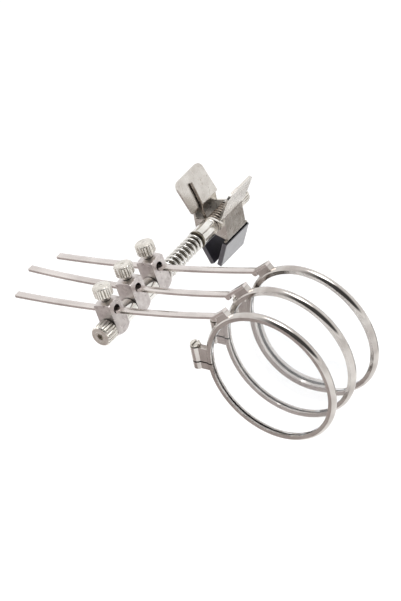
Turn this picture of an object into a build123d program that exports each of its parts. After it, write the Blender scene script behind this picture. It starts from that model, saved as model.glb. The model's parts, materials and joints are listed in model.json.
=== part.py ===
from build123d import *
import os
from math import asin, atan2, cos, degrees, hypot, radians, sin, sqrt, tan

# Clip-on holder with three lens arms.  A spring clip carries a long screw;
# three square blocks swivel on that screw, and each holds a bowed strip rod
# with a lens rim on its end.
#
# +X runs from the blocks to the rims, +Y along the screw from its knob to the
# clip, +Z up.  The origin is the line where the clip's pads grip, mid-width.
# Lengths are in millimetres and angles in degrees.

# Clearances
face_gap = 0.05  # between pieces stacked along the screw
running_gap = 0.05  # radial, between a shaft and its bore

# Long screw
shaft_d = 3.0
knob_d = 7.2
knob_length = 5.2
knob_socket_d = 2.4
knob_socket_depth = 2.0
knob_grooves = 20
nut_d = 6.0
nut_length = 5.0
nut_boss_d = 4.6
nut_boss_length = 2.8
nut_grooves = 16

# Spring clip, described in its own upright frame
clip_lean = 11.0  # the clip stands turned about the screw, handles towards the rims
handle_width = 14.8
fixed_neck_width = 12.4  # outside the fixed jaw's ears
moving_neck_width = 10.6  # the moving jaw's ears nest inside the fixed jaw's
leg_width = 12.8
sheet = 0.8
panel_reach = 5.8  # screw axis to the outside of each panel
panel_half_height = 4.5
handle_length = 11.4
handle_flare = 27.0
handle_corner_r = 2.4
bend_r = 0.9
ear_r = 2.9
ear_rise = 1.6  # top of each ear above the screw axis, at the panel
tip_drop = 14.5  # screw axis to the tips of the pads
tip_gap = 1.0
pad_width = 13.6
pad_wall_out = 0.6
pad_wall_in = 0.3
pad_sole = 0.8
pad_start = 0.9  # bare leg above the pad
jaw_travel = 28.0

# Torsion spring in the clip
torsion_wire = 1.0
torsion_coil_gap = 0.3  # between the screw and the inside of the coil
torsion_turns = 7
torsion_pitch = 1.1
torsion_leg = 8.4  # stretch that lies on the handle

# Stack on the screw
collar_d = 6.2
collar_length = 7.3
washer_d = 6.3
washer_thickness = 0.5
spring_d = 6.1
spring_wire = 0.9
spring_length = 20.1
spring_turns = 10
sleeve_d = 6.5

# Blocks
block_side = 6.3
block_above = 9.0  # screw axis to the top
block_below = 4.2
block_top_dome = 0.9  # how far the domed end drops at the corners
block_bottom_dome = 2.5
arm_pitch = 12.35

# Strip rods
rod_width = 2.4
rod_thickness = 1.0
rod_hole_d = 3.1
rod_hole_height = 5.5  # above the screw axis
rod_seat_gap = 0.05  # rod above the chord of its hole

# Thumb screws
thumb_head_d = 6.4
thumb_head_length = 3.8
thumb_grooves = 16
thumb_neck_d = 3.6
thumb_neck_length = 1.5
thumb_shank_d = 2.5
groove_d = 0.9
head_chamfer = 0.6

# Rims and lenses
rim_d = 48.0
rim_depth = 2.1
rim_width = 2.8
rim_groove = 0.7
lens_edge = 1.2
lens_centre = 2.2
lens_gap = 0.12

# Rim lug, where the rod is soldered on
lug_angle = 117.0  # round the rim from +X
lug_height = 1.4
lug_length = 5.8
lug_width = 2.2
tab_overhang = 3.1  # end of the bent-up tab, past the lug's middle

# Closing barrel that pulls the split rim shut
closing_angle = 170.0
closing_gap = 0.5
barrel_d = 3.8
barrel_upper = 5.3
barrel_lower = 2.7
barrel_stand = 3.9  # barrel axis outside the rim
barrel_web = 2.2
closing_shank_d = 1.5
closing_head_d = 3.2
closing_head_length = 1.2
closing_slot = 0.6
closing_slot_depth = 0.7

# Each arm was bent and soldered by hand, so they differ a little.  From the
# block's middle: the rod's free end, the lowest point of its bowed underside,
# and the rim's middle along the rod and down from the screw axis.
arms = (
    dict(tail=37.4, low_x=20.0, bow_r=450.0, reach=57.0, drop=16.6),
    dict(tail=40.1, low_x=21.3, bow_r=338.0, reach=57.1, drop=15.2),
    dict(tail=38.5, low_x=7.7, bow_r=560.0, reach=57.8, drop=15.2),
)

# Places that follow from the sizes above
lean = radians(clip_lean)
shaft_x = tip_drop * sin(lean)
shaft_z = tip_drop * cos(lean)
shaft_axis = Axis((shaft_x, 0, shaft_z), (0, 1, 0))
bore_d = shaft_d + 2 * running_gap

clip_face = fixed_neck_width / 2
collar_y = -clip_face - face_gap - collar_length
washer_y = collar_y - face_gap - washer_thickness
spring_y = washer_y - face_gap - spring_length
last_block_y = spring_y - face_gap - block_side / 2
sleeve_length = arm_pitch - block_side - 2 * face_gap
block_ys = [last_block_y - (len(arms) - 1 - n) * arm_pitch for n in range(len(arms))]
knob_y = block_ys[0] - block_side / 2 - face_gap
nut_y = clip_face + face_gap
shaft_end_y = nut_y + nut_boss_length + nut_length - 0.4

clip_plane = Plane(
    origin=(shaft_x, 0, shaft_z),
    x_dir=(cos(lean), 0, -sin(lean)),
    z_dir=(0, -1, 0),
)
clip_up = Axis((shaft_x, 0, shaft_z), (sin(lean), 0, cos(lean)))

# The leg slants in so that the pads meet at their tips
tip_reach = hypot(panel_reach - tip_gap / 2, tip_drop - panel_half_height)
leg_slant = atan2(panel_reach - tip_gap / 2, tip_drop - panel_half_height) - asin(
    (pad_wall_in + sheet) / tip_reach
)
leg_length = tip_reach * cos(asin((pad_wall_in + sheet) / tip_reach))

rim_r = rim_d / 2
lug_turn = radians(lug_angle)
tab_radius = rim_r + lug_height

# The rod's edges rest near the chord where its width meets the round hole
hole_chord = rod_hole_height - sqrt((rod_hole_d / 2) ** 2 - (rod_width / 2) ** 2)
rod_seat = hole_chord + rod_seat_gap


def export(builder, label):
    builder.part.label = label
    export_step(builder.part, f"parts/{label}.step")


def bow_height(arm):
    """Height of the bow's centre of curvature above the screw axis."""
    return rod_seat + sqrt(arm["bow_r"] ** 2 - (arm["low_x"] - block_side / 2) ** 2)


def rod_underside(arm, x):
    """Height of the rod's underside above the screw axis, x along the rod."""
    return bow_height(arm) - sqrt(arm["bow_r"] ** 2 - (x - arm["low_x"]) ** 2)


def bend_x(arm):
    """Where the rod's underside meets its tab's, from the block's middle."""
    tab_line = tab_radius + arm["reach"] * cos(lug_turn) - arm["drop"] * sin(lug_turn)
    away = arm["low_x"] * cos(lug_turn) + bow_height(arm) * sin(lug_turn) - tab_line
    return arm["low_x"] - away * cos(lug_turn) - sqrt(arm["bow_r"] ** 2 - away**2) * sin(lug_turn)


def along_y(y):
    """Plane facing +Y, centred on the screw axis."""
    return Plane(origin=(shaft_x, y, shaft_z), x_dir=(1, 0, 0), z_dir=(0, 1, 0))


def groove_sketch(plane, head_d, count):
    """Coarse knurl: the outline of round grooves along a head that starts on plane."""
    with BuildSketch(plane) as grooves:
        with PolarLocations(head_d / 2 + groove_d * 0.12, count):
            Circle(groove_d / 2)
    return grooves.sketch


# Spring clip


def on_jaw(side, along, out):
    """Point on a jaw's leg, in the clip's frame: along the leg and out from it."""
    x = panel_reach - along * sin(leg_slant) + out * cos(leg_slant)
    y = -panel_half_height - along * cos(leg_slant) - out * sin(leg_slant)
    return (side * x, y)


def build_jaw(side, neck_width):
    """Bent sheet jaw.  side is +1 towards the rims, -1 away from them."""
    flare = radians(handle_flare)
    handle_top = (
        side * (panel_reach + handle_length * sin(flare)),
        panel_half_height + handle_length * cos(flare),
    )
    panel_top = (side * panel_reach, panel_half_height)
    panel_foot = (side * panel_reach, -panel_half_height)
    leg_end = on_jaw(side, leg_length - pad_sole, 0)
    with BuildPart() as jaw:
        with BuildSketch(clip_plane):
            with BuildLine():
                FilletPolyline(handle_top, panel_top, panel_foot, leg_end, radius=bend_r)
                offset(amount=sheet, side=Side.RIGHT if side > 0 else Side.LEFT)
            make_face()
        extrude(amount=handle_width / 2, both=True)

        plate_normal = clip_plane.x_dir * cos(flare) - clip_plane.y_dir * (side * sin(flare))
        across_plate = Axis((0, 0, 0), plate_normal)
        top_edges = jaw.edges().filter_by(across_plate).group_by(clip_up)[-1]
        fillet(top_edges, radius=handle_corner_r)

        # The panel is narrower than the handle, and the leg is in between
        for end in (-1, 1):
            with BuildSketch(clip_plane.offset(end * (neck_width + handle_width) / 4)):
                with Locations((side * panel_reach, 0)):
                    Rectangle(4 * sheet, 2 * panel_half_height)
            extrude(amount=(handle_width - neck_width) / 4, both=True, mode=Mode.SUBTRACT)
            with BuildSketch(clip_plane.offset(end * (leg_width + handle_width) / 4)):
                with Locations((side * panel_reach / 2, -panel_half_height)):
                    Rectangle(2 * panel_reach, 2 * tip_drop, align=(Align.CENTER, Align.MAX))
            extrude(amount=(handle_width - leg_width) / 4, both=True, mode=Mode.SUBTRACT)

        for end in (-1, 1):
            with BuildSketch(clip_plane.offset(end * (neck_width - sheet) / 2)):
                with Locations((side * (panel_reach - sheet / 2), (ear_rise - panel_half_height) / 2)):
                    Rectangle(sheet, panel_half_height + ear_rise)
                Circle(ear_r)
                make_hull()
            extrude(amount=sheet / 2, both=True)
        with BuildSketch(clip_plane):
            Circle(bore_d / 2)
        extrude(amount=handle_width, both=True, mode=Mode.SUBTRACT)
    return jaw


def build_pad(side):
    """Rubber boot over the lower part of a jaw's leg."""
    foot = leg_length - pad_sole
    with BuildPart() as pad:
        with BuildSketch(clip_plane):
            with BuildLine():
                Polyline(
                    on_jaw(side, pad_start, pad_wall_out),
                    on_jaw(side, leg_length, pad_wall_out),
                    on_jaw(side, leg_length, -sheet - pad_wall_in),
                    on_jaw(side, pad_start, -sheet - pad_wall_in),
                    close=True,
                )
            make_face()
        extrude(amount=pad_width / 2, both=True)
        outside = pad.edges().filter_by(Axis.Y)
        fillet(outside.sort_by(clip_up)[0:1], radius=pad_wall_in)
        with BuildSketch(clip_plane):
            with BuildLine():
                Polyline(
                    on_jaw(side, 0, 0),
                    on_jaw(side, foot, 0),
                    on_jaw(side, foot, -sheet),
                    on_jaw(side, 0, -sheet),
                    close=True,
                )
            make_face()
        extrude(amount=leg_width / 2, both=True, mode=Mode.SUBTRACT)
    return pad


os.makedirs("parts", exist_ok=True)

jaw_fixed = build_jaw(-1, fixed_neck_width)
export(jaw_fixed, "jaw_fixed")
jaw_moving = build_jaw(1, moving_neck_width)
export(jaw_moving, "jaw_moving")
pad_fixed = build_pad(-1)
export(pad_fixed, "pad_fixed")
pad_moving = build_pad(1)
export(pad_moving, "pad_moving")

# Torsion spring: a close coil round the screw with a leg against each handle
torsion_r = shaft_d / 2 + torsion_coil_gap + torsion_wire / 2
torsion_half = torsion_turns * torsion_pitch / 2
leg_lift = sheet + torsion_wire / 2 + running_gap
with BuildPart() as torsion_spring:
    with BuildLine() as coil_line:
        Helix(
            pitch=torsion_pitch,
            height=2 * torsion_half,
            radius=torsion_r,
            center=(shaft_x, -torsion_half, shaft_z),
            direction=(0, 1, 0),
        )
    coil = coil_line.line
    with BuildSketch(Plane(origin=coil @ 0, z_dir=coil % 0)):
        Circle(torsion_wire / 2)
    sweep(path=coil, is_frenet=True)
    for side, end in ((-1, -1), (1, 1)):
        flare = radians(handle_flare)
        crease = (
            side * (panel_reach - leg_lift),
            panel_half_height + leg_lift * tan(flare / 2),
        )
        leg_tip = (
            crease[0] + side * torsion_leg * sin(flare),
            crease[1] + torsion_leg * cos(flare),
        )
        leg_plane = clip_plane.offset(-end * torsion_half)
        with BuildLine() as leg_line:
            FilletPolyline(
                leg_plane.from_local_coords(Vector(side * torsion_r, -torsion_wire / 4, 0)),
                leg_plane.from_local_coords(Vector(*crease, 0)),
                leg_plane.from_local_coords(Vector(*leg_tip, 0)),
                radius=torsion_wire,
            )
        leg_path = leg_line.line
        with BuildSketch(Plane(origin=leg_path @ 0, z_dir=leg_path % 0)):
            Circle(torsion_wire / 2)
        sweep(path=leg_path)
export(torsion_spring, "torsion_spring")

# Long screw and what is stacked on it

with BuildPart() as pivot_screw:
    with BuildSketch(along_y(knob_y - knob_length)):
        Circle(knob_d / 2)
    extrude(amount=knob_length)
    chamfer(pivot_screw.edges().filter_by(GeomType.CIRCLE), length=head_chamfer)
    knob_knurl = groove_sketch(along_y(knob_y - knob_length), knob_d, knob_grooves)
    extrude(knob_knurl, amount=knob_length, mode=Mode.SUBTRACT)
    with BuildSketch(along_y(knob_y)):
        Circle(shaft_d / 2)
    extrude(amount=shaft_end_y - knob_y)
    with BuildSketch(along_y(knob_y - knob_length)):
        RegularPolygon(knob_socket_d / 2, 6)
    extrude(amount=knob_socket_depth, mode=Mode.SUBTRACT)
export(pivot_screw, "pivot_screw")

with BuildPart() as end_nut:
    with BuildSketch(along_y(nut_y + nut_boss_length)):
        Circle(nut_d / 2)
    extrude(amount=nut_length)
    chamfer(end_nut.edges().filter_by(GeomType.CIRCLE), length=head_chamfer)
    nut_knurl = groove_sketch(along_y(nut_y + nut_boss_length), nut_d, nut_grooves)
    extrude(nut_knurl, amount=nut_length, mode=Mode.SUBTRACT)
    with BuildSketch(along_y(nut_y)):
        Circle(nut_boss_d / 2)
    extrude(amount=nut_boss_length)
    with BuildSketch(along_y(nut_y)):
        Circle(bore_d / 2)
    extrude(amount=nut_boss_length + nut_length, mode=Mode.SUBTRACT)
export(end_nut, "end_nut")

with BuildPart() as collar:
    with BuildSketch(along_y(collar_y)):
        Circle(collar_d / 2)
        Circle(bore_d / 2, mode=Mode.SUBTRACT)
    extrude(amount=collar_length)
    chamfer(collar.edges().filter_by(GeomType.CIRCLE).group_by(SortBy.RADIUS)[-1], length=0.3)
export(collar, "collar")

with BuildPart() as washer:
    with BuildSketch(along_y(washer_y)):
        Circle(washer_d / 2)
        Circle(bore_d / 2, mode=Mode.SUBTRACT)
    extrude(amount=washer_thickness)
export(washer, "washer")

with BuildPart() as compression_spring:
    with BuildLine() as spring_line:
        Helix(
            pitch=(spring_length - spring_wire) / spring_turns,
            height=spring_length - spring_wire,
            radius=(spring_d - spring_wire) / 2,
            center=(shaft_x, spring_y + spring_wire / 2, shaft_z),
            direction=(0, 1, 0),
        )
    spring_path = spring_line.line
    with BuildSketch(Plane(origin=spring_path @ 0, z_dir=spring_path % 0)):
        Circle(spring_wire / 2)
    sweep(path=spring_path, is_frenet=True)
export(compression_spring, "compression_spring")

for n in range(len(arms) - 1):
    with BuildPart() as sleeve:
        with BuildSketch(along_y(block_ys[n] + block_side / 2 + face_gap)):
            Circle(sleeve_d / 2)
            Circle(bore_d / 2, mode=Mode.SUBTRACT)
        extrude(amount=sleeve_length)
        outer_edges = sleeve.edges().filter_by(GeomType.CIRCLE).group_by(SortBy.RADIUS)[-1]
        chamfer(outer_edges, length=0.2)
    export(sleeve, f"spacer_sleeve_{n + 1}")

# Arms

for n, (arm, block_y) in enumerate(zip(arms, block_ys), start=1):
    upright = Plane(origin=(shaft_x, block_y, shaft_z), x_dir=(1, 0, 0), z_dir=(0, 0, 1))
    # Local x runs along the rod and local y up; the normal is across the rod
    rod_plane = Plane(origin=(shaft_x, block_y, shaft_z), x_dir=(1, 0, 0), z_dir=(0, -1, 0))
    rim_centre = Vector(shaft_x + arm["reach"], block_y, shaft_z - arm["drop"])
    rim_axis = Axis(rim_centre, (0, 1, 0))
    # Local x is radial from the rim's middle, local y along its axis
    rim_section = Plane(origin=rim_centre, x_dir=(1, 0, 0), z_dir=(0, 0, 1))
    rod_slope = arm["low_x"] / arm["bow_r"]
    shank_tip = rod_underside(arm, 0) + rod_thickness + running_gap + thumb_shank_d / 2 * rod_slope

    # Square block with both ends turned to a dome
    with BuildPart() as block:
        with BuildSketch(upright.offset(-block_below)):
            Rectangle(block_side, block_side)
        extrude(amount=block_above + block_below)
        corner_r = block_side * sqrt(2) / 2
        with BuildSketch(rod_plane):
            with BuildLine():
                bottom_r = (corner_r**2 + block_bottom_dome**2) / (2 * block_bottom_dome)
                top_r = (corner_r**2 + block_top_dome**2) / (2 * block_top_dome)
                Line((0, block_above), (0, -block_below))
                RadiusArc((0, -block_below), (corner_r, block_bottom_dome - block_below), -bottom_r)
                Line((corner_r, block_bottom_dome - block_below), (corner_r, block_above - block_top_dome))
                RadiusArc((corner_r, block_above - block_top_dome), (0, block_above), -top_r)
            make_face()
        revolve(axis=Axis(upright.origin, (0, 0, 1)), mode=Mode.INTERSECT)
        with BuildSketch(along_y(block_y)):
            Circle(bore_d / 2)
        extrude(amount=block_side, both=True, mode=Mode.SUBTRACT)
        hole_plane = Plane(
            origin=(shaft_x, block_y, shaft_z + rod_hole_height),
            x_dir=(0, 0, 1),
            z_dir=(1, 0, 0),
        )
        with BuildSketch(hole_plane):
            Circle(rod_hole_d / 2)
        extrude(amount=block_side, both=True, mode=Mode.SUBTRACT)
        with BuildSketch(upright.offset(rod_hole_height)):
            Circle(thumb_shank_d / 2 + running_gap)
        extrude(amount=block_above, mode=Mode.SUBTRACT)
    export(block, f"block_{n}")

    # Thumb screw that clamps the rod
    with BuildPart() as thumb_screw:
        head_z = block_above + face_gap + thumb_neck_length
        with BuildSketch(upright.offset(head_z)):
            Circle(thumb_head_d / 2)
        extrude(amount=thumb_head_length)
        chamfer(thumb_screw.edges().filter_by(GeomType.CIRCLE), length=head_chamfer)
        thumb_knurl = groove_sketch(upright.offset(head_z), thumb_head_d, thumb_grooves)
        extrude(thumb_knurl, amount=thumb_head_length - head_chamfer, mode=Mode.SUBTRACT)
        with BuildSketch(upright.offset(block_above + face_gap)):
            Circle(thumb_neck_d / 2)
        extrude(amount=thumb_neck_length)
        with BuildSketch(upright.offset(shank_tip)):
            Circle(thumb_shank_d / 2)
        extrude(amount=block_above + face_gap - shank_tip)
    export(thumb_screw, f"thumb_screw_{n}")

    # Strip rod, bowed upwards, with its end bent up on to the rim's lug
    tab_out = Vector(cos(lug_turn), 0, sin(lug_turn))
    tab_along = Vector(sin(lug_turn), 0, -cos(lug_turn))
    lug_plane = Plane(origin=rim_centre + tab_out * tab_radius, x_dir=tab_along, z_dir=tab_out)
    rod_end = bend_x(arm)
    bend = rod_plane.from_local_coords(Vector(rod_end, rod_underside(arm, rod_end), 0))
    tab_length = tab_overhang - (bend - lug_plane.origin).dot(tab_along)
    with BuildPart() as rod:
        with BuildSketch(rod_plane):
            with BuildLine():
                ends = (-arm["tail"], (rod_end - arm["tail"]) / 2, rod_end)
                under = [(x, rod_underside(arm, x)) for x in ends]
                over = [(x, z + rod_thickness) for x, z in under]
                ThreePointArc(*under)
                Line(under[2], over[2])
                ThreePointArc(*reversed(over))
                Line(over[0], under[0])
            make_face()
        extrude(amount=rod_width / 2, both=True)
        with BuildSketch(lug_plane):
            with Locations((tab_overhang - tab_length / 2, 0)):
                Rectangle(tab_length, rod_width)
        extrude(amount=rod_thickness)
        with BuildSketch(Plane(origin=bend, z_dir=(0, 1, 0))):
            Circle(rod_thickness)
        extrude(amount=rod_width / 2, both=True)
    export(rod, f"rod_{n}")

    # Split rim with its lug and closing barrel
    closing = radians(closing_angle)
    closing_out = Vector(cos(closing), 0, sin(closing))
    closing_up = Vector(sin(closing), 0, -cos(closing))
    barrel_plane = Plane(
        origin=rim_centre + closing_out * (rim_r + barrel_stand) - closing_up * barrel_lower,
        x_dir=closing_out,
        z_dir=closing_up,
    )
    with BuildPart() as rim:
        with BuildSketch(rim_section):
            inner = rim_r - rim_depth
            crown = rim_depth * 0.4
            with BuildLine():
                Polyline(
                    (rim_r - crown, rim_width / 2),
                    (inner, rim_width / 2),
                    (inner, rim_groove),
                    (inner + rim_groove, 0),
                    (inner, -rim_groove),
                    (inner, -rim_width / 2),
                    (rim_r - crown, -rim_width / 2),
                )
                ThreePointArc(
                    (rim_r - crown, -rim_width / 2), (rim_r, 0), (rim_r - crown, rim_width / 2)
                )
            make_face()
        revolve(axis=rim_axis)
        with BuildSketch(barrel_plane):
            Circle(barrel_d / 2)
            with Locations((-barrel_stand / 2 - rim_depth / 4, 0)):
                Rectangle(barrel_stand + rim_depth / 2, barrel_web)
        extrude(amount=barrel_lower + barrel_upper)
        with BuildSketch(barrel_plane.offset(barrel_lower - closing_gap / 2)):
            Rectangle(2 * (barrel_stand + rim_depth + barrel_d), 2 * barrel_d)
        extrude(amount=closing_gap, mode=Mode.SUBTRACT)
        with BuildSketch(barrel_plane):
            Circle(closing_shank_d / 2 + running_gap)
        extrude(amount=barrel_lower + barrel_upper, mode=Mode.SUBTRACT)
        with BuildSketch(lug_plane):
            with Locations((tab_overhang - lug_length / 2, 0)):
                Rectangle(lug_length, lug_width)
        extrude(amount=-(lug_height + rim_depth / 2))
    export(rim, f"rim_{n}")

    # Slotted screw through the closing barrel
    with BuildPart() as closing_screw:
        with BuildSketch(barrel_plane.offset(barrel_lower + barrel_upper + face_gap)):
            Circle(closing_head_d / 2)
        extrude(amount=closing_head_length)
        with BuildSketch(barrel_plane):
            Circle(closing_shank_d / 2)
        extrude(amount=barrel_lower + barrel_upper + face_gap)
        slot_floor = barrel_lower + barrel_upper + face_gap + closing_head_length - closing_slot_depth
        with BuildSketch(barrel_plane.offset(slot_floor)):
            Rectangle(closing_slot, 2 * closing_head_d)
        extrude(amount=closing_head_length, mode=Mode.SUBTRACT)
    export(closing_screw, f"closing_screw_{n}")

    # Lens with a bevelled edge that sits in the rim's groove, and two domed faces
    with BuildPart() as lens:
        with BuildSketch(rim_section):
            face_r = inner - lens_gap
            bevel_r = inner + rim_groove - 2 * lens_gap
            with BuildLine():
                Polyline(
                    (0, -lens_centre / 2),
                    (face_r, -lens_centre / 2),
                    (face_r, -lens_edge / 2),
                    (bevel_r, 0),
                    (face_r, lens_edge / 2),
                    (face_r, lens_centre / 2),
                    (0, lens_centre / 2),
                    close=True,
                )
            make_face()
        revolve(axis=rim_axis)
        dome = (lens_centre - lens_edge) / 2
        dome_r = (face_r**2 + dome**2) / (2 * dome)
        for face in (-1, 1):
            with Locations(rim_centre - Vector(0, face * (dome_r - lens_centre / 2), 0)):
                Sphere(dome_r, rotation=(90, 0, 0), mode=Mode.INTERSECT)
    export(lens, f"lens_{n}")

print("rods bend up at", [round(bend_x(arm), 2) for arm in arms], "from their blocks")
print("leg slant", round(degrees(leg_slant), 2), "degrees")
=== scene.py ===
import json
from math import atan2, cos, hypot, pi, radians, sin, sqrt, tan

import bmesh
import bpy
from mathutils import Matrix, Vector


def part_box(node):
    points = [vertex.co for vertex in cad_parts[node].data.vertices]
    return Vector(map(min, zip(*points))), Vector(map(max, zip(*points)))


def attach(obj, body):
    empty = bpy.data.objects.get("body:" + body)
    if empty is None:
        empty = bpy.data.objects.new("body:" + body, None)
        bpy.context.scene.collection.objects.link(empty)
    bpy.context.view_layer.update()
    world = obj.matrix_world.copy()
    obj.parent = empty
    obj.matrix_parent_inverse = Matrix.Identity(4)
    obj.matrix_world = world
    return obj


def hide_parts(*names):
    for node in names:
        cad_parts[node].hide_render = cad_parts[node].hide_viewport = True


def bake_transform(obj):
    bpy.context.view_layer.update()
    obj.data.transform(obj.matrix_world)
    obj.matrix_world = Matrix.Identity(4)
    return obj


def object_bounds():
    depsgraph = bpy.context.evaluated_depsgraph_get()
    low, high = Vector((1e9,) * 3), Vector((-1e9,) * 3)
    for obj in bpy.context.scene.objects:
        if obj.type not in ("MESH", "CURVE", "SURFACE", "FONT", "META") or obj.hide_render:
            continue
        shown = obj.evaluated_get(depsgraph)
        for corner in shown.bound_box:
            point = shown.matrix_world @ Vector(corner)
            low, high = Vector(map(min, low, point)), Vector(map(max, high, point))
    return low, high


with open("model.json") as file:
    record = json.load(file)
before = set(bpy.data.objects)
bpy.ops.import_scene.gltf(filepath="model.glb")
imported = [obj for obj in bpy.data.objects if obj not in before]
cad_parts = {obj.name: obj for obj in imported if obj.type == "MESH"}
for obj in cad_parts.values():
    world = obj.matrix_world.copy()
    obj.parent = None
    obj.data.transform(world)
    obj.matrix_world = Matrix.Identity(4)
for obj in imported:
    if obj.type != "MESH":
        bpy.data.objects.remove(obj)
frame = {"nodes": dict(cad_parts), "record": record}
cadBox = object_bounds()
mm = 0.001
cadNodes = frame["nodes"]
arms = (1, 2, 3)


def boxCentre(node):
    low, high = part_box(node)
    return (low + high) / 2


shaft = boxCentre("pivot_screw")  # a point on the long screw's axis, which runs along Y


def linearColour(hexColour):
    parts = [int(hexColour[i:i + 2], 16) / 255 for i in (1, 3, 5)]
    return tuple(c / 12.92 if c <= 0.04045 else ((c + 0.055) / 1.055) ** 2.4 for c in parts) + (1.0,)


def addNode(tree, kind, settings=None, links=None):
    node = tree.nodes.new(kind)
    for name, value in (settings or {}).items():
        if name in node.inputs and not hasattr(node, name):
            node.inputs[name].default_value = value
        else:
            setattr(node, name, value)
    for name, source in (links or {}).items():
        tree.links.new(source, node.inputs[name])
    return node


def newMaterial(name):
    material = bpy.data.materials.new(name)
    material.use_nodes = True
    tree = material.node_tree
    shader = tree.nodes["Principled BSDF"]
    place = addNode(tree, "ShaderNodeTexCoord").outputs["Object"]
    return material, tree, shader, place


def noiseOf(tree, place, grainMm, stretch=(1, 1, 1), detail=3.0):
    # one grain is about grainMm across, stretched by the given factors along X, Y and Z
    scaled = addNode(tree, "ShaderNodeMapping", {"Scale": tuple(1 / s for s in stretch)}, {"Vector": place})
    settings = {"Scale": 1 / (grainMm * mm), "Detail": detail}
    return addNode(tree, "ShaderNodeTexNoise", settings, {"Vector": scaled.outputs[0]}).outputs["Fac"]


def rampOf(tree, value, stops):
    ramp = addNode(tree, "ShaderNodeValToRGB", links={"Fac": value})
    elements = ramp.color_ramp.elements
    while len(elements) < len(stops):
        elements.new(0.5)
    for element, (at, colour) in zip(elements, stops):
        element.position = at
        element.color = linearColour(colour) if isinstance(colour, str) else (colour, colour, colour, 1)
    return ramp.outputs["Color"]


def mixOf(tree, share, a, b, blend="MIX"):
    mix = addNode(tree, "ShaderNodeMix", {"data_type": "RGBA", "blend_type": blend})
    for socket, value in ((mix.inputs[0], share), (mix.inputs[6], a), (mix.inputs[7], b)):
        if isinstance(value, bpy.types.NodeSocket):
            tree.links.new(value, socket)
        elif isinstance(value, str):
            socket.default_value = linearColour(value)
        else:
            socket.default_value = value
    return mix.outputs[2]


def bumpOf(tree, height, depthMm):
    bump = addNode(tree, "ShaderNodeBump", {"Strength": 1.0, "Distance": depthMm * mm}, {"Height": height})
    return bump.outputs["Normal"]


def paintedCreviceShade(tree, reachMm, dark):
    # painted shade: darker where faces meet at less than reachMm, standing in for the shade that falls in
    # creases and recesses
    near = addNode(tree, "ShaderNodeAmbientOcclusion", {"samples": 8, "Distance": reachMm * mm})
    return rampOf(tree, near.outputs["AO"], ((0.15, dark), (0.75, 1.0)))


def makePlate(look):
    # nickel plate on steel or brass: a warm silver metal whose finish comes from what was done before plating
    material, tree, shader, place = newMaterial(look["name"])
    patches = noiseOf(tree, place, look["patchMm"], detail=2.0)
    colour = rampOf(tree, patches, ((0.3, look["shade"]), (0.7, look["light"])))
    if look.get("stain"):
        spots = rampOf(tree, noiseOf(tree, place, look["stainMm"], detail=6.0), ((0.62, 0.0), (0.72, 1.0)))
        colour = mixOf(tree, spots, colour, look["stain"])
    # painted shade: each look's crevice colour darkens its creases and recesses
    if look.get("creviceShadeColour"):
        colour = mixOf(tree, paintedCreviceShade(tree, look["creviceShadeMm"], 0.0), look["creviceShadeColour"], colour)
    tree.links.new(colour, shader.inputs["Base Color"])
    shader.inputs["Metallic"].default_value = 1.0
    low, high = look["roughness"]
    tree.links.new(rampOf(tree, noiseOf(tree, place, look["patchMm"] * 0.6), ((0.3, low), (0.7, high))),
                   shader.inputs["Roughness"])
    grain = noiseOf(tree, place, look["grainMm"], look["grainStretch"], 4.0)
    tree.links.new(bumpOf(tree, grain, look["grainDepthMm"]), shader.inputs["Normal"])
    return material


# in each look, the crevice colour and its reach in mm paint shade where faces meet closely
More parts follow.
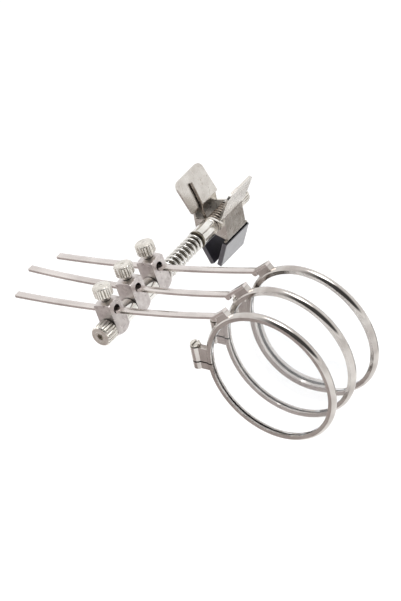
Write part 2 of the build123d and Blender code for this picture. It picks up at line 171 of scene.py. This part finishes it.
plateLooks = {
    # pressed sheet, linished before plating: fine lines along the handles, a few water stains
    "pressed_sheet": dict(
        name="linishedNickelSheet", shade="#c6c0b9", light="#dcd8d2", patchMm=5.0, stain="#a89e93",
        stainMm=0.7, roughness=(0.2, 0.34), grainMm=0.16, grainStretch=(1, 1, 18), grainDepthMm=0.02,
        creviceShadeColour="#3f3933", creviceShadeMm=0.5),
    # drawn spring wire: bright, with soft highlights on each turn
    "spring_wire": dict(
        name="brightDrawnWire", shade="#cfccc6", light="#eceae6", patchMm=2.0, roughness=(0.14, 0.24),
        grainMm=0.25, grainStretch=(1, 1, 1), grainDepthMm=0.006, creviceShadeColour="#3a362f", creviceShadeMm=0.45),
    # the clip's spring: a darker, slightly duller copy of the spring wire, painted shade for the clip's dark
    # interior
    "shaded_spring_wire": dict(
        name="shadedSpringWire", shade="#7a7067", light="#9d9389", patchMm=2.0, roughness=(0.18, 0.3),
        grainMm=0.25, grainStretch=(1, 1, 1), grainDepthMm=0.006, creviceShadeColour="#1f1b17", creviceShadeMm=0.7),
    # turned and knurled screws, warm nickel, painted shade in the knurl
    "plated_screws": dict(
        name="turnedNickelBrass", shade="#d2ccc3", light="#e9e5de", patchMm=2.4,
        roughness=(0.18, 0.28), grainMm=0.2, grainStretch=(1, 1, 1), grainDepthMm=0.005,
        creviceShadeColour="#2b261f", creviceShadeMm=0.75),
    # the screw's thread: a darker, rougher copy of the screw plating, painted shade for the shadowed thread
    # inside the clip
    "shaded_thread": dict(
        name="shadedThreadPlate", shade="#5a554e", light="#8a847a", patchMm=1.2, roughness=(0.3, 0.45),
        grainMm=0.2, grainStretch=(1, 1, 1), grainDepthMm=0.01, creviceShadeColour="#14120f", creviceShadeMm=0.7),
    # polished sleeves and collar: nearly a mirror
    "polished_collar": dict(
        name="polishedNickelTube", shade="#d9d6cf", light="#f0eeea", patchMm=4.0,
        roughness=(0.07, 0.14), grainMm=0.3, grainStretch=(1, 8, 1), grainDepthMm=0.002,
        creviceShadeColour="#3b362f", creviceShadeMm=0.7),
    # plain steel washer, left unplated: dull and darker than its neighbours
    "dark_washer": dict(
        name="dullSteelWasher", shade="#6f675b", light="#948b7c", patchMm=1.2, roughness=(0.3, 0.45),
        grainMm=0.2, grainStretch=(1, 1, 1), grainDepthMm=0.008, creviceShadeColour="#1d1a17", creviceShadeMm=0.5),
    # square bar, tumbled before plating: satin and slightly pitted, with a mauve-grey cast
    "plated_block": dict(
        name="tumbledNickelBar", shade="#c3bbb9", light="#dcd6d3", patchMm=2.0, stain="#a79f9b",
        stainMm=1.6, roughness=(0.26, 0.38), grainMm=0.24, grainStretch=(1, 1, 1), grainDepthMm=0.018,
        creviceShadeColour="#38322e", creviceShadeMm=0.8),
    # strip rod: drawn, so any marks run along it
    "plated_rod": dict(
        name="drawnNickelStrip", shade="#cbc3bf", light="#e0d9d5", patchMm=9.0, roughness=(0.14, 0.22),
        grainMm=0.14, grainStretch=(40, 1, 1), grainDepthMm=0.006, creviceShadeColour="#4a423c", creviceShadeMm=0.6),
    # rims, buffed before plating: mirror bands with fine dark lines
    "polished_rim": dict(
        name="polishedNickelRim", shade="#b5aea9", light="#d3cec9", patchMm=6.0,
        roughness=(0.08, 0.16), grainMm=0.3, grainStretch=(1, 1, 1), grainDepthMm=0.003,
        creviceShadeColour="#35302b", creviceShadeMm=0.7),
}
materials = {slot: makePlate(look) for slot, look in plateLooks.items()}


def makeRubber():
    # dipped vinyl: near black, with a smooth skin that is slightly rippled like orange peel
    look = dict(dark="#26232d", pale="#3a3644", patchMm=3.0, peelMm=0.5, peelDepthMm=0.02, roughness=0.3,
                gloss=0.9, skin=1.0, skinRoughness=0.25)
    material, tree, shader, place = newMaterial("dippedVinyl")
    colour = rampOf(tree, noiseOf(tree, place, look["patchMm"]), ((0.3, look["dark"]), (0.7, look["pale"])))
    tree.links.new(colour, shader.inputs["Base Color"])
    shader.inputs["Roughness"].default_value = look["roughness"]
    shader.inputs["Specular IOR Level"].default_value = look["gloss"]
    shader.inputs["Coat Weight"].default_value = look["skin"]
    shader.inputs["Coat Roughness"].default_value = look["skinRoughness"]
    peel = bumpOf(tree, noiseOf(tree, place, look["peelMm"]), look["peelDepthMm"])
    tree.links.new(peel, shader.inputs["Normal"])
    return material


def makeGlass():
    # crown glass, ground and polished: clear, and it shifts what is seen through it a little
    look = dict(clear="#ffffff", tinted="#fdfeff", patchMm=12.0, ior=1.52)
    material, tree, shader, place = newMaterial("polishedCrownGlass")
    tint = rampOf(tree, noiseOf(tree, place, look["patchMm"]), ((0.2, look["clear"]), (0.8, look["tinted"])))
    tree.links.new(tint, shader.inputs["Base Color"])
    shader.inputs["Transmission Weight"].default_value = 1.0
    shader.inputs["Roughness"].default_value = 0.0
    shader.inputs["IOR"].default_value = look["ior"]
    return material


materials["pad_rubber"] = makeRubber()
materials["lens_glass"] = makeGlass()
print("materials made:", len(materials))


edgeSoftening = {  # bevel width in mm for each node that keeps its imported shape
    "jaw_fixed": 0.12, "jaw_moving": 0.12, "pad_fixed": 0.3, "pad_moving": 0.3, "washer": 0.08,
}
for n in arms:
    edgeSoftening[f"block_{n}"] = 0.22
    edgeSoftening[f"rod_{n}"] = 0.14
    edgeSoftening[f"closing_screw_{n}"] = 0.2
slotOf = {part["node"]: part["material_slot"] for part in frame["record"]["subparts"]}
for name, node in cadNodes.items():
    node.data.materials.clear()
    node.data.materials.append(materials[slotOf[name]])
    width = edgeSoftening.get(name, 0.0)
    if width:
        weld = node.modifiers.new("joinEdges", "WELD")
        weld.merge_threshold = 0.0005 * mm
        flat = node.modifiers.new("joinFlats", "DECIMATE")
        flat.decimate_type = "DISSOLVE"
        flat.angle_limit = radians(0.6)
        bevel = node.modifiers.new("softEdges", "BEVEL")
        bevel.width = width * mm
        bevel.segments = 2
        bevel.limit_method = "ANGLE"
        bevel.angle_limit = radians(32)
        bevel.harden_normals = True
print("packed nodes finished:", len(cadNodes))


def clearSelection():
    if bpy.context.object and bpy.context.object.mode == "EDIT":
        bpy.ops.object.mode_set(mode="OBJECT")
    bpy.ops.object.select_all(action="DESELECT")


def startEdit(piece):
    clearSelection()
    bpy.context.view_layer.objects.active = piece
    piece.select_set(True)
    bpy.ops.object.mode_set(mode="EDIT")
    bpy.ops.mesh.select_mode(type="FACE")
    bpy.ops.mesh.select_all(action="DESELECT")


def pickFaces(piece, test):
    # test takes a face's middle and normal
    bpy.ops.mesh.select_mode(type="FACE")
    mesh = bmesh.from_edit_mesh(piece.data)
    for face in mesh.faces:
        face.select_set(bool(test(face.calc_center_median(), face.normal)))
    mesh.select_flush_mode()
    bmesh.update_edit_mesh(piece.data)


def pickPoints(piece, test):
    bpy.ops.mesh.select_mode(type="VERT")
    mesh = bmesh.from_edit_mesh(piece.data)
    for vertex in mesh.verts:
        vertex.select_set(bool(test(vertex.co)))
    mesh.select_flush_mode()
    bmesh.update_edit_mesh(piece.data)


def pushRing(insetMm, upMm):
    # a smaller copy of the picked end face, moved along the piece
    if insetMm:
        bpy.ops.mesh.inset(thickness=insetMm * mm, use_even_offset=True)
    if upMm:
        bpy.ops.mesh.extrude_region_move(TRANSFORM_OT_translate={"value": (0, 0, upMm * mm)})


def applyModifier(piece, kind, **settings):
    modifier = piece.modifiers.new(kind, kind)
    for name, value in settings.items():
        setattr(modifier, name, value)
    clearSelection()
    bpy.context.view_layer.objects.active = piece
    piece.select_set(True)
    bpy.ops.object.modifier_apply(modifier=modifier.name)


def settle(piece, matrix, angle=38):
    # normals outwards, smooth where it is round, and its place in its mesh
    startEdit(piece)
    bpy.ops.mesh.select_all(action="SELECT")
    bpy.ops.mesh.remove_doubles(threshold=0.001 * mm)
    bpy.ops.mesh.normals_make_consistent(inside=False)
    bpy.ops.object.mode_set(mode="OBJECT")
    piece.data.transform(matrix @ piece.matrix_world)
    piece.matrix_world = Matrix.Identity(4)
    bpy.ops.object.shade_smooth_by_angle(angle=radians(angle))


def finishPiece(piece, name, slot, body, *replaced):
    piece.name = name
    piece.data.name = name
    piece.data.materials.clear()
    piece.data.materials.append(materials[slot])
    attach(piece, body)
    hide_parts(*replaced)
    return piece


def copyPiece(piece, matrix):
    twin = piece.copy()
    twin.data = piece.data.copy()
    bpy.context.collection.objects.link(twin)
    twin.data.transform(matrix)
    return twin


def knurledHead(size):
    # a head whose flutes run along it; its outer end faces +Z and its inner end sits at z = 0
    sides = size["flutes"] * 4
    bpy.ops.mesh.primitive_cylinder_add(
        vertices=sides, radius=size["head"] / 2 * mm, depth=size["headLength"] * mm,
        location=(0, 0, size["headLength"] / 2 * mm), end_fill_type="NGON")
    piece = bpy.context.object
    bpy.ops.object.transform_apply(location=True)
    startEdit(piece)
    top, outer = size["headLength"] * mm, size["head"] / 2 * mm
    pickFaces(piece, lambda middle, normal: normal.z > 0.9)
    pushRing(size["chamfer"], 0)
    pickPoints(piece, lambda at: at.z > top - 0.01 * mm and hypot(at.x, at.y) > outer - 0.05 * mm)
    bpy.ops.transform.translate(value=(0, 0, -size["chamfer"] * mm))
    pickFaces(piece, lambda middle, normal: normal.z < -0.9)
    pushRing(size["chamfer"] * 0.7, 0)
    pickPoints(piece, lambda at: at.z < 0.01 * mm and hypot(at.x, at.y) > outer - 0.05 * mm)
    bpy.ops.transform.translate(value=(0, 0, size["chamfer"] * 0.7 * mm))
    step = 2 * pi / sides

    def inFlute(at):
        return hypot(at.x, at.y) > outer - 0.02 * mm and round(atan2(at.y, at.x) / step) % 4 == 0

    pickPoints(piece, inFlute)
    narrow = 1 - 2 * size["fluteDepth"] / size["head"]
    bpy.ops.transform.resize(value=(narrow, narrow, 1))
    return piece


def softenHead(piece, widthMm):
    bpy.ops.object.mode_set(mode="OBJECT")
    applyModifier(piece, "BEVEL", width=widthMm * mm, segments=2, limit_method="ANGLE",
                  angle_limit=radians(24))


def makeThumbScrews():
    size = dict(head=6.3, headLength=3.6, chamfer=0.3, flutes=18, fluteDepth=0.45, dish=0.9, neck=3.6,
                neckLength=1.5, shank=2.5, faceRise=0.17, faceEdge=0.35, waist=0.25)
    piece = knurledHead(size)
    faceR = size["head"] / 2 - size["chamfer"]
    pickFaces(piece, lambda middle, normal: normal.z > 0.9 and hypot(middle.x, middle.y) < 0.1 * mm)
    pushRing(size["faceEdge"], 0.12)  # the turned face is slightly raised, with a fine centre dimple
    pushRing(faceR - size["faceEdge"] - size["dish"], size["faceRise"] - 0.12)
    pushRing(0.3, -0.12)
    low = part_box("thumb_screw_1")[0]
    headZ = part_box("thumb_screw_1")[1].z - (size["headLength"] + size["faceRise"]) * mm
    shankLength = (headZ - low.z) / mm - size["neckLength"]
    pickFaces(piece, lambda middle, normal: normal.z < -0.9 and hypot(middle.x, middle.y) < 0.1 * mm)
    pushRing(size["head"] / 2 - size["chamfer"] * 0.7 - size["neck"] / 2, 0)
    pushRing(0, -size["neckLength"] * 0.45)
    pushRing(size["waist"], 0)
    pushRing(0, -size["neckLength"] * 0.55)
    pushRing(size["neck"] / 2 - size["waist"] - size["shank"] / 2, 0)
    pushRing(0, -shankLength)
    softenHead(piece, 0.09)
    middle = boxCentre("thumb_screw_1")
    settle(piece, Matrix.Translation((middle.x, middle.y, headZ)))
    for n in arms[1:]:
        there = boxCentre(f"thumb_screw_{n}")
        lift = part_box(f"thumb_screw_{n}")[1].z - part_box("thumb_screw_1")[1].z
        quarter = Matrix.Rotation(radians(7 * n), 4, "Z")
        twin = copyPiece(piece, Matrix.Translation((there.x, there.y, lift)) @ quarter
                         @ Matrix.Translation((-middle.x, -middle.y, 0)))
        finishPiece(twin, f"thumbScrew{n}", "plated_screws", f"thumb_screw_{n}", f"thumb_screw_{n}")
    finishPiece(piece, "thumbScrew1", "plated_screws", "thumb_screw_1", "thumb_screw_1")
    print("thumb screws made")


makeThumbScrews()


def alongScrew(y):
    # turns a piece made along +Z to run along the long screw, its z = 0 at height y
    return Matrix.Translation((shaft.x, y, shaft.z)) @ Matrix.Rotation(radians(-90), 4, "X")


def threadedRod(size, length):
    # a V thread spun up by the screw modifier, capped at both ends
    root, crest, pitch = size["thread"] / 2 - size["threadDepth"], size["thread"] / 2, size["pitch"]
    bpy.ops.mesh.primitive_plane_add(size=1)
    rod = bpy.context.object
    startEdit(rod)
    bpy.ops.mesh.select_all(action="SELECT")
    bpy.ops.mesh.delete(type="ONLY_FACE")
    bpy.ops.object.mode_set(mode="OBJECT")
    corners = ((root, 0), (crest, 0.42 * pitch), (crest, 0.58 * pitch), (root, pitch))

    def roundSquare(vertex):
        # the plane's corners in turn, so that each is joined to the next
        return vertex.co.y, vertex.co.x * (1 if vertex.co.y < 0 else -1)

    for vertex, (r, z) in zip(sorted(rod.data.vertices, key=roundSquare), corners):
        vertex.co = (r * mm, 0, z * mm)
    startEdit(rod)
    bpy.ops.mesh.select_mode(type="EDGE")
    mesh = bmesh.from_edit_mesh(rod.data)
    for edge in mesh.edges:
        ends = sorted(v.co.z for v in edge.verts)
        edge.select_set(ends[0] < 0.01 * mm and ends[1] > 0.9 * pitch * mm)
    bmesh.update_edit_mesh(rod.data)
    bpy.ops.mesh.delete(type="EDGE")
    bpy.ops.object.mode_set(mode="OBJECT")
    turns = int(length / pitch) - 1
    applyModifier(rod, "SCREW", angle=2 * pi, screw_offset=pitch * mm, iterations=turns, steps=20,
                  render_steps=20, use_merge_vertices=True, merge_threshold=0.001 * mm)
    startEdit(rod)
    bpy.ops.mesh.select_all(action="SELECT")
    bpy.ops.mesh.remove_doubles(threshold=0.001 * mm)
    bpy.ops.mesh.select_all(action="DESELECT")
    bpy.ops.mesh.select_mode(type="VERT")
    bpy.ops.mesh.select_non_manifold()
    bpy.ops.mesh.edge_face_add()
    bpy.ops.object.mode_set(mode="OBJECT")
    return rod


def makeLongScrew():
    size = dict(head=7.1, headLength=5.1, chamfer=0.4, flutes=20, fluteDepth=0.5, socket=2.4, socketDepth=2.0,
                socketTurn=12, rim=0.9, thread=2.98, threadDepth=0.34, pitch=0.7)
    low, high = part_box("pivot_screw")
    piece = knurledHead(size)
    faceR = size["head"] / 2 - size["chamfer"]
    pickFaces(piece, lambda middle, normal: normal.z > 0.9 and hypot(middle.x, middle.y) < 0.1 * mm)
    pushRing(faceR - size["socket"] / 2 - size["rim"], 0)
    pushRing(0.15, -0.04)  # a fine turned line round the socket
    softenHead(piece, 0.09)
    bpy.ops.mesh.primitive_cylinder_add(
        vertices=6, radius=size["socket"] / 2 * mm, depth=2 * size["socketDepth"] * mm,
        location=(0, 0, size["headLength"] * mm), rotation=(0, 0, radians(size["socketTurn"])))
    socket = bpy.context.object
    applyModifier(piece, "BOOLEAN", operation="DIFFERENCE", object=socket, solver="EXACT")
    bpy.data.objects.remove(socket)
    headBack = Vector((shaft.x, low.y + size["headLength"] * mm, shaft.z))
    turn = Matrix.Translation(headBack) @ Matrix.Rotation(radians(90), 4, "X")
    settle(piece, turn)
    finishPiece(piece, "longScrewKnob", "plated_screws", "screw", "pivot_screw")
    rod = threadedRod(size, (high.y - low.y) / mm - size["headLength"])
    settle(rod, turn @ Matrix.Rotation(pi, 4, "X"), 30)
    finishPiece(rod, "longScrewThread", "plated_screws", "screw", "pivot_screw")
    # painted shade: the thread gets the darker copy of the screw plating
    rod.data.materials[0] = materials["shaded_thread"]
    print("long screw made")


makeLongScrew()


def makeEndNut():
    size = dict(head=5.9, headLength=4.9, chamfer=0.6, flutes=16, fluteDepth=0.5, boss=4.6, bore=3.1, lip=0.5)
    low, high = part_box("end_nut")
    piece = knurledHead(size)
    bossLength = (high.y - low.y) / mm - size["headLength"]
    faceR = size["head"] / 2 - size["chamfer"]
    pickFaces(piece, lambda middle, normal: normal.z > 0.9 and hypot(middle.x, middle.y) < 0.1 * mm)
    pushRing(faceR - size["bore"] / 2 - size["lip"], 0)
    pushRing(0.2, -0.2)
    pickFaces(piece, lambda middle, normal: normal.z < -0.9 and hypot(middle.x, middle.y) < 0.1 * mm)
    pushRing(size["head"] / 2 - size["chamfer"] * 0.7 - size["boss"] / 2, 0)
    pushRing(0, -bossLength)
    softenHead(piece, 0.09)
    bpy.ops.mesh.primitive_cylinder_add(vertices=48, radius=size["bore"] / 2 * mm, depth=40 * mm)
    bore = bpy.context.object
    applyModifier(piece, "BOOLEAN", operation="DIFFERENCE", object=bore, solver="EXACT")
    bpy.data.objects.remove(bore)
    settle(piece, alongScrew(low.y + bossLength * mm))
    finishPiece(piece, "endNut", "plated_screws", "end_nut", "end_nut")
    print("end nut made")


makeEndNut()


def wirePiece(points, wireMm, name):
    # round wire along a smooth line, made a mesh
    curve = bpy.data.curves.new(name, "CURVE")
    curve.dimensions = "3D"
    curve.bevel_depth = wireMm / 2 * mm
    curve.bevel_resolution = 4
    curve.resolution_u = 1
    curve.use_fill_caps = True
    line = curve.splines.new("POLY")
    line.points.add(len(points) - 1)
    for point, at in zip(line.points, points):
        point.co = (*at, 1)
    piece = bpy.data.objects.new(name, curve)
    bpy.context.collection.objects.link(piece)
    clearSelection()
    bpy.context.view_layer.objects.active = piece
    piece.select_set(True)
    bpy.ops.object.convert(target="MESH")
    piece = bpy.context.object
    settle(piece, Matrix.Identity(4), 60)
    return piece


def makeCompressionSpring():
    size = dict(wire=0.9, closedTurns=1.0, activeTurns=8.6, stepsPerTurn=28, start=40)
    low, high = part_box("compression_spring")
    wire, r = size["wire"] * mm, (high.x - low.x) / 2 - size["wire"] / 2 * mm
    closed, active = size["closedTurns"], size["activeTurns"]
    length = high.y - low.y - wire
    turns = 2 * closed + active
    steps = int(turns * size["stepsPerTurn"])
    closedRise = closed * wire * 1.03
    points = []
    for i in range(steps + 1):
        turn = turns * i / steps
        if turn < closed:
            rise = turn / closed * closedRise
        elif turn > turns - closed:
            rise = length - (turns - turn) / closed * closedRise
        else:
            rise = closedRise + (turn - closed) / active * (length - 2 * closedRise)
        angle = 2 * pi * turn + radians(size["start"])
        points.append((shaft.x + r * cos(angle), low.y + wire / 2 + rise, shaft.z - r * sin(angle)))
    piece = wirePiece(points, size["wire"], "compressionSpring")
    finishPiece(piece, "compressionSpring", "spring_wire", "clip", "compression_spring")
    print("compression spring made")


makeCompressionSpring()


def makeTorsionSpring():
    # the coil sits round the long screw; one leg lies on each handle
    size = dict(wire=1.0, coilR=2.3, turns=7, pitch=1.1, stepsPerTurn=28, leg=8.4, flare=27.0, panelReach=5.8,
                panelHalf=4.5, sheet=0.8, gap=0.05, lean=11.0, bend=1.2, legLean=2.4)
    lean, flare = radians(size["lean"]), radians(size["flare"])
    across = Vector((cos(lean), 0, -sin(lean)))
    upward = Vector((sin(lean), 0, cos(lean)))
    centre = Vector((shaft.x, 0, shaft.z))
    lift = size["sheet"] + size["wire"] / 2 + size["gap"]
    half = size["turns"] * size["pitch"] / 2

    def leg(side):
        creaseX = side * (size["panelReach"] - lift)
        creaseZ = size["panelHalf"] + lift * tan(flare / 2)
        corners = [Vector((side * size["coilR"], -0.2)), Vector((creaseX, creaseZ)),
                   Vector((creaseX + side * size["leg"] * sin(flare), creaseZ + size["leg"] * cos(flare)))]
        before = corners[1] + (corners[0] - corners[1]).normalized() * size["bend"]
        after = corners[1] + (corners[2] - corners[1]).normalized() * size["bend"]
        rounded = [before.lerp(corners[1], t).lerp(corners[1].lerp(after, t), t)
                   for t in (0, 0.25, 0.5, 0.75, 1)]
        flat = [corners[0].lerp(before, 0.5)] + rounded + [after.lerp(corners[2], t) for t in (0.33, 0.66, 1)]
        slope = size["legLean"] / (len(flat) - 1)
        return [centre + (across * p.x + upward * p.y + Vector((0, side * (half - slope * i), 0))) * mm
                for i, p in enumerate(flat)]

    steps = size["turns"] * size["stepsPerTurn"]
    lowSide, highSide = leg(-1), leg(1)
    # half a turn short of whole, so that the two legs leave the coil on opposite sides of the screw
    coil = []
    for i in range(steps + 1):
        share = i / steps
        angle = pi - 2 * pi * (size["turns"] - 0.5) * share
        coil.append(centre + (across * size["coilR"] * cos(angle) + upward * size["coilR"] * sin(angle)
                              + Vector((0, (share * 2 - 1) * half, 0))) * mm)
    points = list(reversed(lowSide)) + coil + highSide
    piece = wirePiece(points, size["wire"], "torsionSpring")
    # painted shade: the clip's spring gets the darker copy of the spring wire
    piece.data.materials.clear()
    piece.data.materials.append(materials["shaded_spring_wire"])
    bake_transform(piece)
    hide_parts("torsion_spring")
    print("torsion spring made")


makeTorsionSpring()


def makeLenses():
    # two shallow domed faces and a bevelled edge that sits in the rim's groove
    size = dict(edge=1.2, centre=2.2, bevel=0.6, rings=22, sides=160)
    low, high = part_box("lens_1")
    radius = (high.x - low.x) / 2 / mm
    faceR = radius - size["bevel"]
    rise = (size["centre"] - size["edge"]) / 2
    domeR = (faceR**2 + rise**2) / (2 * rise)
    bpy.ops.mesh.primitive_circle_add(vertices=size["sides"], radius=radius * mm, fill_type="NGON")
    piece = bpy.context.object
    startEdit(piece)
    bpy.ops.mesh.select_all(action="SELECT")
    bpy.ops.mesh.inset(thickness=size["bevel"] * mm)
    step = faceR / size["rings"]
    for ring in range(size["rings"] - 1):
        bpy.ops.mesh.inset(thickness=step * mm)
    bpy.ops.mesh.poke()
    bpy.ops.object.mode_set(mode="OBJECT")
    for vertex in piece.data.vertices:
        r = hypot(vertex.co.x, vertex.co.y) / mm
        if r < faceR + 0.01:
            vertex.co.z = (size["edge"] / 2 + sqrt(domeR**2 - r**2) - (domeR - rise)) * mm
    applyModifier(piece, "MIRROR", use_axis=(False, False, True), merge_threshold=0.0005 * mm)
    middle = boxCentre("lens_1")
    settle(piece, Matrix.Translation(middle) @ Matrix.Rotation(radians(90), 4, "X"), 20)
    for n in arms[1:]:
        twin = copyPiece(piece, Matrix.Translation(boxCentre(f"lens_{n}") - middle))
        finishPiece(twin, f"lens{n}", "lens_glass", f"arm_{n}", f"lens_{n}")
    finishPiece(piece, "lens1", "lens_glass", "arm_1", "lens_1")
    print("lenses made")


makeLenses()


def makeStudio():
    size = dict(
        floor=12.0, floorDrop=0.16, floorColour="#f7f7f7", floorGlow=0.2,
        tentStrength=1.15, tentHeights=((0.0, 1.0), (0.3, 0.93), (0.6, 0.9), (1.0, 1.0)),
        opening=(0.60, -0.66, 0.45), openingEdge=((0.35, 1.0), (0.75, 0.08)),
        openingLow=((0.08, 0.0), (0.2, 1.0)),
        aim=(0.03, -0.03, 0), lampAt=(0.3, 0.25, 1.4), lampSide=0.9, lampWatts=8.0)
    aim = Vector(size["aim"])
    bpy.ops.mesh.primitive_plane_add(size=size["floor"], location=(0, 0, cadBox[0].z - size["floorDrop"]))
    floor = bpy.context.object
    floor.name = "floor"
    material, tree, shader, place = newMaterial("paleFloor")
    shader.inputs["Base Color"].default_value = linearColour(size["floorColour"])
    shader.inputs["Roughness"].default_value = 0.9
    shader.inputs["Emission Color"].default_value = linearColour("#ffffff")
    shader.inputs["Emission Strength"].default_value = size["floorGlow"]  # a lit white table
    floor.data.materials.append(material)

    # a white tent that is open towards the front, where the room is dark
    world = bpy.data.worlds.new("studioWorld")
    bpy.context.scene.world = world
    world.use_nodes = True
    tree = world.node_tree
    direction = addNode(tree, "ShaderNodeTexCoord").outputs["Generated"]
    height = addNode(tree, "ShaderNodeSeparateXYZ", links={"Vector": direction}).outputs["Z"]
    tent = rampOf(tree, height, size["tentHeights"])
    front = addNode(tree, "ShaderNodeVectorMath", {"operation": "DOT_PRODUCT"}, {0: direction})
    front.inputs[1].default_value = size["opening"]
    room = rampOf(tree, front.outputs["Value"], size["openingEdge"])
    opening = mixOf(tree, rampOf(tree, height, size["openingLow"]), "#ffffff", room)
    background = tree.nodes["Background"]
    tree.links.new(mixOf(tree, 1.0, tent, opening, "MULTIPLY"), background.inputs["Color"])
    background.inputs["Strength"].default_value = size["tentStrength"]

    light = bpy.data.lights.new("skyLight", "AREA")
    light.size = size["lampSide"]
    light.energy = size["lampWatts"]
    lamp = bpy.data.objects.new("skyLight", light)
    bpy.context.collection.objects.link(lamp)
    lamp.location = size["lampAt"]
    lamp.rotation_mode = "QUATERNION"
    lamp.rotation_quaternion = (lamp.location - aim).to_track_quat("Z", "Y")
    lamp.visible_camera = False

    cards = {  # grey cards that only show in bright metal, where they give it its darker faces
        "leftCard": dict(at=(-0.17, -0.235, -0.11), size=(0.3, 0.18), shade="#b5adab"),
        "rightCard": dict(at=(0.11, 0.18, -0.14), size=(0.13, 0.13), shade="#a39e9a"),
        "backCard": dict(at=(-0.15, 0.155, -0.12), size=(0.16, 0.12), shade="#55504d"),
    }
    for name, look in cards.items():
        bpy.ops.mesh.primitive_plane_add(size=1, location=look["at"])
        card = bpy.context.object
        card.name = name
        card.scale = (*look["size"], 1)
        card.rotation_mode = "QUATERNION"
        card.rotation_quaternion = (aim - card.location).to_track_quat("Z", "Y")
        paint, tree, shader, place = newMaterial(name + "Paint")
        shader.inputs["Base Color"].default_value = linearColour(look["shade"])
        shader.inputs["Roughness"].default_value = 0.9
        card.data.materials.append(paint)
        card.visible_camera = False
        card.visible_shadow = False
        card.visible_diffuse = False
        card.visible_transmission = False


def makeCamera():
    view = dict(lens=359.4, sensor=36.0, distance=1.8872, right=0.0223, down=0.0239,
                toRight=(0.780, 0.543, -0.311), back=(0.623, -0.632, 0.461), near=0.05, far=50.0)
    toRight = Vector(view["toRight"]).normalized()
    back = Vector(view["back"]).normalized()
    upward = back.cross(toRight).normalized()
    toRight = upward.cross(back)
    data = bpy.data.cameras.new("camera")
    data.lens = view["lens"]
    data.sensor_width = view["sensor"]
    data.sensor_fit = "AUTO"
    data.clip_start, data.clip_end = view["near"], view["far"]
    camera = bpy.data.objects.new("camera", data)
    bpy.context.collection.objects.link(camera)
    aim = boxCentre("lens_1") - toRight * view["right"] + upward * view["down"]
    turn = Matrix((toRight, upward, back)).transposed().to_4x4()
    camera.matrix_world = Matrix.Translation(aim + back * view["distance"]) @ turn
    bpy.context.scene.camera = camera


makeStudio()
makeCamera()
scene = bpy.context.scene
scene.view_settings.view_transform = "Standard"
scene.view_settings.look = "None"
scene.view_settings.exposure = 0.0
print("studio and camera placed")
